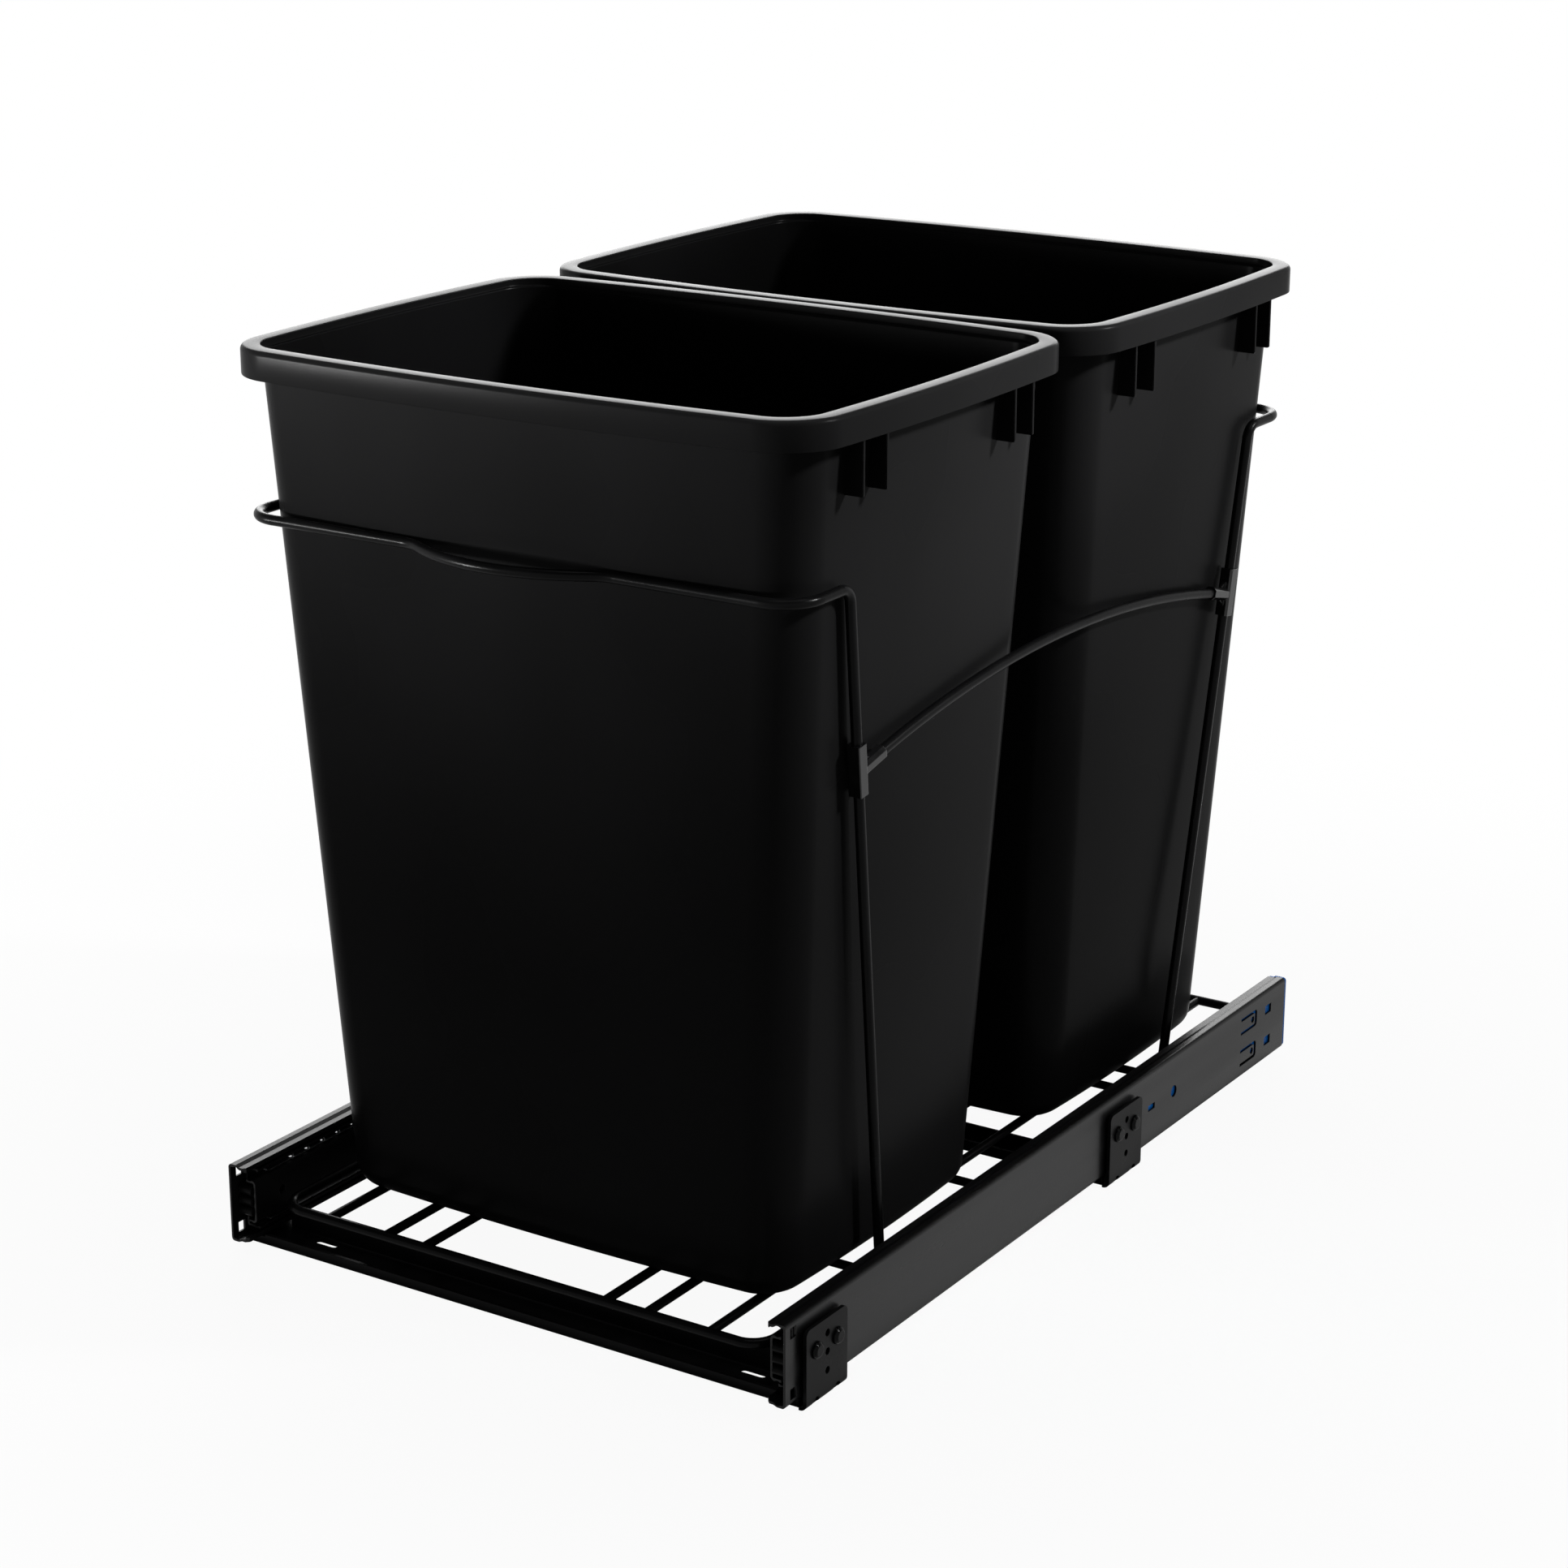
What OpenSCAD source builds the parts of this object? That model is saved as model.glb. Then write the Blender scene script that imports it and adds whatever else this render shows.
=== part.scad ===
// Pull-out double bin frame: two lift-out bins in a wire basket, on a pair of ball-bearing
// slides that two channel crossbars carry above a cabinet floor.
// Millimetres. X to the right, Y to the back of the cabinet, Z up.
// Origin: middle of the footprint, on the cabinet floor.

/* [Slides] */
// Length of each slide, end cap included
rail_len = 558.8; // [450:0.1:700]
// Width over the outer faces of the two slides
rail_gauge = 354.1; // [300:0.1:450]
// How far the basket pulls out
travel = 520; // [350:1:530]
// Overall height of the cabinet member
rail_h = 44.8; // [40:0.1:56]
// Clear height from the cabinet floor to the slide
rail_lift = 6.25; // [4:0.05:20]
// Depth of the slide, outer face to basket face
slide_depth = 12.7; // [12:0.1:16]
// Sheet of the cabinet member's web
web_t = 1.2; // [0.8:0.1:1.6]
// Sheet of the race flanges
race_t = 1.45; // [1.2:0.05:2]
// Bearing ball diameter
ball_d = 4; // [3:0.1:5]
// Spacing of the balls along a strip
ball_pitch = 13.05; // [8:0.05:20]
// Running clearance between a ball and its race
ball_gap = 0.3; // [0.1:0.05:0.4]
// Depth of the ball groove pressed into a flange
groove = 0.5; // [0.3:0.05:0.7]
// How far the cabinet member's flanges step in past the ball row
flange_step = 0.9; // [0.4:0.05:1.2]
// Sheet of the ball strips
cage_t = 0.5; // [0.4:0.1:0.8]
// Length of the soft-close unit
soft_close_len = 185.8; // [120:0.1:220]
// Thickness of the end cap behind the cabinet member
cap_t = 2.2; // [1:0.1:4]
// Length of the fixed ball strip at the front of the middle member
front_strip_len = 107.2; // [70:0.1:125]

/* [Crossbars] */
// Sheet thickness of the crossbars
bar_t = 2; // [1.2:0.1:3]
// Width of the channel part, front to back
bar_w = 23.9; // [18:0.1:34]
// Height of the channel's lips
lip_h = 7; // [5:0.1:14]
// Outer radius of the sheet bends
bend_r = 3.8; // [2.5:0.1:5]
// Width of the ears that hold the slides
ear_w = 37.7; // [32:0.1:50]
// Height of the ears
ear_h = 43.3; // [38:0.1:60]
// Clear gap between ear and slide, filled by the rivet collars
ear_gap = 1.6; // [0.8:0.1:4]
// Distance between the two crossbars
bar_pitch = 313.5; // [200:0.5:420]
// Front of the slide to the front edge of the first ear
bar_front = 13.4; // [5:0.1:60]
// Rivet spacing on an ear
rivet_pitch = 19.1; // [14:0.1:24]
// Rivet shank diameter
rivet_d = 5; // [4:0.1:6]
// How far a rivet head stands out
rivet_head = 2.2; // [1.2:0.1:4]
// Screw slot length
slot_len = 15.6; // [8:0.1:24]
// Screw slot width
slot_w = 5; // [3.5:0.1:7]
// Slot centres, side to side
slot_span = 275.4; // [200:0.1:290]

/* [Basket] */
// Frame and hoop rod diameter
rod_d = 5.5; // [4:0.1:7]
// Floor wire diameter
wire_d = 5; // [3:0.1:5.5]
// Gap between a side rod and the slide's basket member
rod_gap = 8; // [5:0.1:16]
// How far the frame ends stop short of the slide ends
ring_inset = 10.9; // [8:0.1:40]
// Basket centre behind the slide centre
basket_y = 3.6; // [0:0.1:6]
// Height of the frame rods' axis above the cabinet floor
rod_z = 26.7; // [24:0.1:34]
// Corner radius of the frame, on the rod axis
ring_r = 14; // [8:0.5:30]
// Spacing of the middle pair of floor wires
wire_mid = 116; // [80:1:140]
// Step from the middle wires to the next pair
wire_step_a = 25.5; // [15:0.5:30]
// Step from there to the outer pair
wire_step_b = 38.5; // [25:0.5:45]
// Height of the hoops' top run
hoop_z = 402; // [360:1:440]
// How far the hoops spread outward at the top, on each side
hoop_spread = 13.6; // [13:0.1:16]
// Hoop run behind the frame's front rod
hoop_inset = 10.4; // [9:0.1:16]
// Level arm from the hoop's front run to the leg
hoop_arm = 45.9; // [36:0.1:70]
// Lean of the hoop legs along the slide, degrees
leg_lean = 8.33; // [5:0.01:12]
// Corner radius of the hoops, on the rod axis
hoop_r = 20; // [14:0.5:30]
// Bend radius from leg to arm, on the rod axis
knee_r = 9; // [6:0.5:14]
// How far the handle bows forward
handle_bow = 17.9; // [12:0.1:22]
// Radius of the handle's bow
handle_r = 99; // [80:1:130]
// Radius of the blends at both ends of the handle
handle_blend = 25; // [15:1:40]
// Height of the side arch's ends on the legs
arch_z = 306.9; // [280:0.1:330]
// Rise of the side arch
arch_rise = 23.2; // [12:0.1:40]
// Length of a clip on the leg
clip_h = 27; // [18:0.5:36]
// Clip sleeve size across its flats
clip_w = 7.5; // [7:0.1:9]
// Reach of the clip's arm from the leg axis
clip_reach = 21; // [15:0.5:30]
// Length of a mounting bracket
bracket_len = 30; // [24:0.5:40]
// Sheet of the mounting brackets
bracket_t = 2; // [1.2:0.1:3]

/* [Bins] */
// Height of a bin
bin_h = 459.75; // [420:0.05:480]
// Gap between bin floor and floor wires
bin_seat = 0.3; // [0.2:0.05:1]
// Wall thickness
bin_wall = 2; // [1.5:0.1:3]
// Gap between a bin's foot and the side rods
bin_side_gap = 10.85; // [9:0.05:20]
// Widening of a side wall from foot to rim
taper_x = 25; // [15:0.5:25.5]
// Widening of a front wall from foot to rim
taper_y = 19.6; // [12:0.1:24]
// Rim band width around the mouth
rim_band = 9.8; // [8:0.1:12]
// Radius of the rim's outer edge
rim_round = 2.6; // [1.5:0.1:3.5]
// Depth of the rim's skirt
rim_skirt = 15; // [10:0.1:24]
// Gap between the two rims
rim_gap = 0.6; // [0.4:0.1:6]
// How far the rims reach past the frame's ends
rim_over = 1; // [0:0.1:4]
// Bow of the rim's sides
bow_x = 4.7; // [2:0.1:6]
// Bow of the rim's front and back
bow_y = 6.9; // [4:0.1:9]
// Inner corner radius of the mouth
mouth_r = 19; // [15:0.5:40]
// Foot edge radius
foot_r = 13; // [8:0.5:20]
// Spacing of a pair of rim ribs
rib_pitch = 19.5; // [14:0.5:30]
// Distance of the inner rib from the bin's middle
rib_pos = 60.5; // [40:0.5:66]
// Depth of the ribs below the skirt
rib_drop = 27; // [15:0.5:40]

/* [Hidden] */
$fn = 48;
eps = 0.05;               // weld and press gap between fixed pieces
lap = 0.4;                // straight rod runs this far into a bend
bend_d = rod_d + 0.06;    // bends swell a hair, so straight rod ends lie inside them
run_gap = 0.6;            // clearance between sliding members
ball_r = ball_d / 2;
groove_r = ball_r + ball_gap;
race_space = ball_d + 2 * (ball_gap - groove);   // clear height between two flanges

// slide section: u runs in from the outer face, w up and down from the middle
mid_z = rail_lift + rail_h / 2;
half_o = rail_h / 2;
half_m = half_o - race_t - race_space;
half_i = half_m - race_t - race_space;
w_ball_o = half_o - race_t - race_space / 2;
w_ball_i = half_m - race_t - race_space / 2;
u_mid = web_t + run_gap + cage_t;                // outer face of the middle member's web
u_lip = slide_depth - 1.6;                       // edge of the cabinet member's flanges
u_ball_o = u_mid + 2.3;
u_ball_i = u_ball_o + 4.1;
u_step0 = u_ball_o + 0.2;                        // where a stepped flange starts to drop
u_step1 = u_step0 + 2.4;
bead = 1.1;                                      // size of the bead along a stepped flange's edge
u_in = u_ball_i - 2.2;                           // edge of the basket member's flanges
y_front = -rail_len / 2;
nose_y = y_front + 7.1;                          // axis of the bumper's ribs
nose_d = 5.2;                                    // rib diameter
nose_pitch = 6.1;
nose_half = nose_pitch + nose_d / 2 + 0.1;
mid_y0 = y_front + 10.6;
mid_y1 = y_front + rail_len - 13.8;
in_y0 = y_front + 6.2;
in_y1 = y_front + rail_len - 8.8;
metal_y1 = -y_front - cap_t;
unit_y0 = -y_front - soft_close_len;
unit_w = half_i - race_t - 0.4;
plate_t = u_mid - run_gap - web_t;               // base plate under the middle member's fork
plate_w = half_m - race_t - 2;
cap_in = 0.4;                                    // end cap inside the member's outline
bumper_y1 = mid_y0 + 6.6;
strip_y0 = bumper_y1 + 1.5;
strip_y1 = strip_y0 + front_strip_len;
strip_plain = 20;                                // ball-free ends of the front strip
cage_i_y0 = strip_y1 + travel / 4 + 5;
cage_i_y1 = unit_y0 - 8;
cage_o_y0 = y_front + travel / 4 + 6;
cage_o_y1 = unit_y0 - 8;

// crossbars and rivets
x_ear = rail_gauge / 2 + ear_gap;
bar_in = rail_gauge / 2 - u_lip - 0.5;           // half length of the lips
bar_out = rail_gauge / 2 - 1;                    // the front lip runs on to here, lower
slot_y = 18;                                     // ear edge to the slot axis
rivet_z = mid_z + 1.15;
rivet_y0 = (ear_w - rivet_pitch) / 2 + 0.2;
bar_y = [y_front + bar_front, y_front + bar_front + bar_pitch];

// basket
x_in = rail_gauge / 2 - slide_depth;             // basket face of the slide
rod_x = x_in - rod_gap - rod_d / 2;
ring_y = rail_len / 2 - ring_inset;
wire_z = rod_z - rod_d / 2 + wire_d / 2;
cross_z = rod_z - rod_d / 2 - eps - wire_d / 2;
wire_x = [wire_mid / 2, wire_mid / 2 + wire_step_a, wire_mid / 2 + wire_step_a + wire_step_b];
side_lean = atan(hoop_spread / (hoop_z - rod_z));
hoop_s = (hoop_z - rod_z) / cos(side_lean);
hoop_x = rod_x + hoop_spread;
hoop_y = ring_y - hoop_inset;
leg_y = hoop_y - hoop_arm - hoop_s * tan(leg_lean);
arch_s = (arch_z - rod_z) / cos(side_lean);
arch_half = leg_y + arch_s * tan(leg_lean);
arch_r = (arch_half * arch_half + arch_rise * arch_rise) / (2 * arch_rise);
arch_a = asin(arch_half / arch_r);
arch_end = 6.5;                                  // arch stops this far from the leg axis
arch_cut = arch_end / arch_r * 180 / PI;
handle_a = acos(1 - handle_bow / (handle_r + handle_blend));
handle_x = (handle_r + handle_blend) * sin(handle_a);
cross_y = [-leg_y, -33, 129, leg_y];
bracket_y = [-113, 92];

// bins
bin_z = wire_z + wire_d / 2 + bin_seat;
rim_z = bin_z + bin_h;
foot_x = rod_x - rod_d / 2 - bin_side_gap;
rim_mid_y = (ring_y + rim_over - rim_gap / 2) / 2;
bin_y = rim_mid_y + rim_gap / 2;
wall_out = 0.3;                                  // wall face outside the mouth's edge
mouth_x = foot_x + taper_x - wall_out;
mouth_y = rim_mid_y - bow_y - rim_band;
foot_y = mouth_y + wall_out - taper_y;
rim_t = 2.2;
shoulder = 4;

function mix(a, b, t) = a + (b - a) * t;
module right(s) { if (s > 0) children(); else mirror([1, 0, 0]) children(); }
module front(s) { if (s < 0) children(); else mirror([0, 1, 0]) children(); }
module basket_frame() { translate([0, basket_y, 0]) children(); }
module side_plane() { translate([rod_x, 0, rod_z]) rotate([0, side_lean, 0]) children(); }

// profile drawn across and up, drawn out along Y
module along_y(y0, y1) {
  translate([0, y1, 0]) rotate([90, 0, 0]) linear_extrude(height = y1 - y0) children();
}
// profile drawn back and up, drawn out along X
module along_x(x0, x1) {
  translate([x0, 0, 0]) rotate([90, 0, 90]) linear_extrude(height = x1 - x0) children();
}
module slide_section() { translate([rail_gauge / 2, mid_z]) mirror([1, 0]) children(); }

module round_block(a0, a1, b0, b1, r) {
  translate([a0 + r, b0]) square([a1 - a0 - 2 * r, b1 - b0]);
  translate([a0, b0 + r]) square([a1 - a0, b1 - b0 - 2 * r]);
  for (a = [a0 + r, a1 - r], b = [b0 + r, b1 - r]) translate([a, b]) circle(r = r);
}

// bent sheet channel with its web at u0 and its flanges running to u1
module channel(u0, u1, half, t_web, t_flange, r) {
  intersection() {
    difference() {
      round_block(u0, u1 + 3 * r, -half, half, r);
      round_block(u0 + t_web, u1 + 9 * r, -half + t_flange, half - t_flange, r * 0.4);
    }
    translate([u0 - 1, -half - 1]) square([u1 - u0 + 1, 2 * half + 2]);
  }
}

// inner part of the upper or lower flange past its step, with the bead along its edge
module stepped_flange(s) {
  top = half_o - flange_step;
  low = top - race_t;
  edge = [[u_step0 - lap, half_o - 0.3], [u_step0, half_o], [u_step1, top], [u_lip, top],
    [u_lip, low - bead], [u_lip - bead, low - bead], [u_lip - bead, low], [u_step1 + 0.4, low],
    [u_step0 + 0.8, half_o - race_t], [u_step0 - lap, half_o - race_t + 0.3]];
  last = len(edge) - 1;
  // both outlines run the same way round
  polygon([for (i = [0 : last]) let (p = edge[s < 0 ? i : last - i]) [p[0], s * p[1]]]);
}

module races(u, w) { for (s = [-1, 1]) translate([u, s * w]) circle(r = groove_r); }

// bore straight through the slide's sheet, along X
module cross_bore(y, z, d, x0, x1) {
  translate([x0, y, z]) rotate([0, 90, 0]) cylinder(d = d, h = x1 - x0);
}
module cross_box(y0, y1, z0, z1, x0, x1) { translate([x0, y0, z0]) cube([x1 - x0, y1 - y0, z1 - z0]); }

module outer_rail() {
  xw = rail_gauge / 2 - web_t - 1;
  xo = rail_gauge / 2 + 1;
  tail = -y_front;
  color("#1c1d1f") difference() {
    along_y(y_front, metal_y1) slide_section() difference() {
      union() {
        channel(0, u_step0, half_o, web_t, race_t, 2);
        for (s = [-1, 1]) stepped_flange(s);
      }
      races(u_ball_o, w_ball_o);
    }
    for (b = bar_y, k = [0, 1])
      cross_bore(b + rivet_y0 + k * rivet_pitch, rivet_z, rivet_d + 2 * eps, xw, xo);
    for (s = [-1, 1]) {
      // sheared front corners and the square windows of both ends
      translate([rail_gauge / 2 - u_lip, y_front, mid_z + s * half_o]) rotate([0, 0, 45])
        cube([2.4, 2.4, 2 * (race_t + flange_step) + 3], center = true);
      cross_box(y_front + 4.5, y_front + 9.7, mid_z + s * 16.4 - 2.9, mid_z + s * 16.4 + 2.9, xw, xo);
      cross_box(tail - 28.5, tail - 20.5, mid_z + s * 10 - 2.8, mid_z + s * 10 + 2.8, xw, xo);
      // spring tongue cut free on three sides
      along_x(xw, xo) translate([tail, mid_z + s * 10]) difference() {
        round_block(-66, -39.8, -5.2, 5.2, 2.4);
        round_block(-72, -42.6, -3.4, 3.4, 1);
        translate([-73, -6]) square([12, 12]);
      }
      cross_bore(tail - 45.6, mid_z + s * 10, 4, xw, xo);
    }
    cross_box(tail - 179.6, tail - 171.6, mid_z - 1.8, mid_z + 1.8, xw, xo);
    cross_bore(tail - 147.9, mid_z, 7, xw, xo);
  }
}

module soft_close() {
  color("#0a4f9e") {
    difference() {
      along_y(unit_y0, metal_y1) slide_section()
        round_block(web_t + plate_t + eps, slide_depth - 1.7, -unit_w, unit_w, 1);
      // guide way of the catch and the damper's recess
      along_y(unit_y0 + 12, unit_y0 + 82) slide_section()
        translate([slide_depth - 5.2, -3]) square([6, 6]);
      along_y(unit_y0 + 92, unit_y0 + 168) slide_section()
        translate([slide_depth - 3.7, -5.5]) square([6, 11]);
    }
    along_y(unit_y0 + 50, unit_y0 + 64) slide_section()
      translate([slide_depth - 5.2, -3]) square([3, 6]);
    along_y(unit_y0 + 92, unit_y0 + 168) slide_section()
      translate([slide_depth - 3.9, 0]) circle(d = 3.4);
    // base plate against the web, and the end cap
    along_y(unit_y0, metal_y1 - eps) slide_section()
      translate([web_t, -plate_w]) square([plate_t, 2 * plate_w]);
    along_y(metal_y1, metal_y1 + cap_t) slide_section() difference() {
      round_block(0.2, u_lip, -half_o + cap_in, half_o - cap_in, 2);
      for (s = [-1, 1]) translate([u_step1, s * half_o - flange_step - cap_in])
        square([slide_depth, 2 * (flange_step + cap_in)]);
    }
  }
}

// both rows of ball places along a strip, with at least "plain" left free at each end
module ball_places(y0, y1, u_ball, w_ball, plain) {
  n = floor((y1 - y0 - 2 * plain) / ball_pitch);
  lead = (y1 - y0 - n * ball_pitch) / 2;
  for (s = [-1, 1], i = [0 : n])
    translate([rail_gauge / 2 - u_ball, y0 + lead + i * ball_pitch, mid_z + s * w_ball]) children();
}
// folded strip with one row of ball pockets in each flange
module ball_strip(y0, y1, u_web, u_ball, w_ball, plain = 7) {
  color("#b9bcc0") difference() {
    along_y(y0, y1) slide_section()
      channel(u_web, u_ball + ball_r + 0.8, w_ball + cage_t / 2, cage_t, cage_t, 0.9);
    // pockets, each open to the strip's edge
    ball_places(y0, y1, u_ball, w_ball, plain) {
      cylinder(r = ball_r + ball_gap / 2, h = 3 * cage_t, center = true);
      translate([-ball_r - 2, -0.6, -1.5 * cage_t]) cube([ball_r + 2, 1.2, 3 * cage_t]);
    }
  }
}
module ball_row(y0, y1, u_ball, w_ball, plain = 7) {
  color("#d5d7da") ball_places(y0, y1, u_ball, w_ball, plain) sphere(r = ball_r);
}
module outer_cage() { ball_strip(cage_o_y0, cage_o_y1, web_t + run_gap / 2, u_ball_o, w_ball_o); }
module outer_balls() { ball_row(cage_o_y0, cage_o_y1, u_ball_o, w_ball_o); }
module inner_cage() { ball_strip(cage_i_y0, cage_i_y1, u_mid + web_t + run_gap / 2, u_ball_i, w_ball_i); }
module inner_balls() { ball_row(cage_i_y0, cage_i_y1, u_ball_i, w_ball_i); }
module front_strip() { ball_strip(strip_y0, strip_y1, u_mid + web_t, u_ball_i, w_ball_i, strip_plain); }
module front_balls() { ball_row(strip_y0, strip_y1, u_ball_i, w_ball_i, strip_plain); }

module middle_rail() {
  color("#222325") difference() {
    along_y(mid_y0, mid_y1) slide_section() difference() {
      channel(u_mid, u_lip - 0.2, half_m, web_t, race_t, 1.8);
      races(u_ball_o, w_ball_o);
      races(u_ball_i, w_ball_i);
    }
    // the web forks round the soft-close unit
    cross_box(unit_y0 - 6, mid_y1 + 1, mid_z - unit_w - run_gap, mid_z + unit_w + run_gap,
      rail_gauge / 2 - u_mid - web_t - 0.1, rail_gauge / 2 - u_mid + 0.1);
  }
}

module bumper() {
  u0 = web_t + run_gap;
  u1 = slide_depth - web_t - 0.8;
  color("#17181a") {
    along_y(nose_y, bumper_y1) slide_section() round_block(u_mid + web_t, u1, -nose_half, nose_half, 0.8);
    // nose over the end of the middle member, with ribs that meet the cabinet stop
    along_y(nose_y, mid_y0 - eps) slide_section() round_block(u0, u1, -nose_half, nose_half, 0.8);
    for (k = [-1 : 1])
      cross_bore(nose_y, mid_z + k * nose_pitch, nose_d, rail_gauge / 2 - u1, rail_gauge / 2 - u0);
  }
}

module inner_rail() {
  color("#26272a") difference() {
    along_y(in_y0, in_y1) slide_section() difference() {
      translate([slide_depth, 0]) mirror([1, 0]) channel(0, slide_depth - u_in, half_i, web_t, race_t, 2.4);
      races(u_ball_i, w_ball_i);
    }
    cross_bore(y_front + 27.8, mid_z, 5, x_in - 1, x_in + web_t + 1);
    for (b = bracket_y, k = [-1, 1])
      cross_bore(basket_y + b + k * bracket_len * 0.27, mid_z + 4.5, 4 + 2 * eps,
        x_in - 1, x_in + web_t + 1);
  }
}

// channel section of a crossbar, with its front at zero
module bar_section(h) {
  difference() {
    round_block(0, bar_w, 0, lip_h + 3 * bend_r, bend_r - 0.8);
    round_block(bar_t, bar_w - bar_t, bar_t, lip_h + 6 * bend_r, bend_r - 0.6 - bar_t);
    translate([-1, h]) square([bar_w + 2, 9 * bend_r]);
  }
}

module crossbar(k) {
  y0 = bar_y[k];
  xo = x_ear + bar_t;
  color("#1d1e20") difference() {
    union() {
      difference() {
        along_y(y0, y0 + ear_w) difference() {
          round_block(-xo, xo, 0, ear_h + 2 * bend_r, bend_r);
          round_block(-xo + bar_t, xo - bar_t, bar_t, ear_h + 4 * bend_r, bend_r - bar_t + 0.2);
          translate([-xo - 1, ear_h]) square([2 * xo + 2, 9 * bend_r]);
        }
        // the floor narrows to the channel between the slides
        translate([-bar_in, y0 + bar_w - bend_r, -1]) cube([2 * bar_in, ear_w, bar_t + 2]);
        translate([-bar_out, y0 - 1, -1]) cube([2 * bar_out, 1 + bend_r, bar_t + 2]);
        // rounded ear tops
        for (s = [-1, 1], e = [0, 1]) translate([s * (xo - bar_t / 2), y0 + e * ear_w, ear_h])
          difference() {
            cube([2 * bar_t, 7, 7], center = true);
            translate([-2 * bar_t, (1 - 2 * e) * 3.5, -3.5]) rotate([0, 90, 0])
              cylinder(r = 3.5, h = 4 * bar_t);
          }
      }
      along_x(-bar_in, bar_in) translate([y0, 0]) bar_section(lip_h);
      along_x(-bar_out, bar_out) translate([y0, 0]) intersection() {
        bar_section(min(lip_h, rail_lift - 0.3));
        square([bend_r + lap, lip_h]);
      }
    }
    for (s = [-1, 1]) {
      // screw slots
      translate([s * slot_span / 2, y0 + slot_y, -1]) {
        translate([-(slot_len - slot_w) / 2, -slot_w / 2, 0]) cube([slot_len - slot_w, slot_w, bar_t + 2]);
        for (e = [-1, 1]) translate([e * (slot_len - slot_w) / 2, 0, 0])
          cylinder(d = slot_w, h = bar_t + 2);
      }
      right(s) {
        for (j = [0, 1]) {
          cross_bore(y0 + rivet_y0 + j * rivet_pitch, rivet_z, rivet_d + 2 * eps, x_ear - 1, xo + 1);
          cross_bore(y0 + rivet_y0 + j * rivet_pitch, 1.5, 6, x_ear, xo + 1);
        }
        for (z = [-13.75, -3.55, 6.55]) cross_bore(y0 + ear_w / 2 + 0.4, mid_z + z, 4, x_ear - 1, xo + 1);
      }
    }
  }
}

module rivets() {
  color("#3a3c40") for (b = bar_y, j = [0, 1])
    translate([rail_gauge / 2 - web_t, b + rivet_y0 + j * rivet_pitch, rivet_z]) rotate([0, 90, 0]) {
      cylinder(d = rivet_d, h = web_t + ear_gap + bar_t + 0.3);
      translate([0, 0, web_t]) cylinder(d = rivet_d + 4, h = ear_gap);
      translate([0, 0, web_t + ear_gap + bar_t]) {
        cylinder(d = rivet_d + 4.2, h = rivet_head * 0.68);
        translate([0, 0, rivet_head * 0.68])
          cylinder(d1 = rivet_d + 4.2, d2 = rivet_d + 2.2, h = rivet_head * 0.32);
      }
    }
}

module rod_x_way(x0, x1, y, z, d) {
  translate([x0, y, z]) rotate([0, 90, 0]) cylinder(d = d, h = x1 - x0);
}
module rod_y_way(x, y0, y1, z, d) {
  translate([x, y0, z]) rotate([-90, 0, 0]) cylinder(d = d, h = y1 - y0);
}
// bent stretch of rod lying level
module bend_flat(c, r, a0, a, d) {
  translate(c) rotate([0, 0, a0]) rotate_extrude(angle = a) translate([r, 0]) circle(d = d);
}
// bent stretch of rod standing in the YZ plane
module bend_side(y, z, r, a0, a, d) {
  translate([0, y, z]) rotate([90, 0, 90]) rotate([0, 0, a0])
    rotate_extrude(angle = a) translate([r, 0]) circle(d = d);
}

module base_ring() {
  color("#202124") basket_frame() {
    for (s = [-1, 1]) {
      rod_y_way(s * rod_x, -ring_y + ring_r - lap, ring_y - ring_r + lap, rod_z, rod_d);
      rod_x_way(-rod_x + ring_r - lap, rod_x - ring_r + lap, s * ring_y, rod_z, rod_d);
    }
    for (k = [0 : 3]) bend_flat([(k == 0 || k == 3 ? 1 : -1) * (rod_x - ring_r),
      (k < 2 ? 1 : -1) * (ring_y - ring_r), rod_z], ring_r, 90 * k, 90, bend_d);
  }
}

module long_wires() {
  color("#202124") basket_frame() difference() {
    for (x = wire_x, s = [-1, 1]) rod_y_way(s * x, -ring_y, ring_y, wire_z, wire_d);
    for (s = [-1, 1]) rod_x_way(-rod_x, rod_x, s * ring_y, rod_z, rod_d + 2 * eps);
  }
}

module cross_wires() {
  color("#202124") basket_frame()
    for (y = cross_y) rod_x_way(-rod_x - 2, rod_x + 2, y, cross_z, wire_d);
}

// one side of a hoop: leg, knee and level arm, for the front hoop
module hoop_side() {
  tan_len = knee_r * tan((90 - leg_lean) / 2);
  knee_y = -(leg_y + hoop_s * tan(leg_lean));
  side_plane() {
    translate([0, -leg_y, 0]) rotate([leg_lean, 0, 0])
      cylinder(d = rod_d, h = hoop_s / cos(leg_lean) - tan_len + lap);
    bend_side(knee_y - tan_len, hoop_s - knee_r, knee_r, leg_lean, 90 - leg_lean, bend_d);
  }
  rod_y_way(hoop_x, -hoop_y + hoop_r - lap, knee_y - tan_len + lap, hoop_z, rod_d);
  bend_flat([hoop_x - hoop_r, -hoop_y + hoop_r, hoop_z], hoop_r, -90, 90, bend_d);
}

module hoop_legs() {
  difference() {
    for (s = [-1, 1]) right(s) hoop_side();
    for (s = [-1, 1]) rod_y_way(s * rod_x, -ring_y, ring_y, rod_z, rod_d + 2 * eps);
    translate([-hoop_x, -leg_y - 20, rod_z - rod_d]) cube([2 * hoop_x, 40, rod_d]);
  }
}

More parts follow.
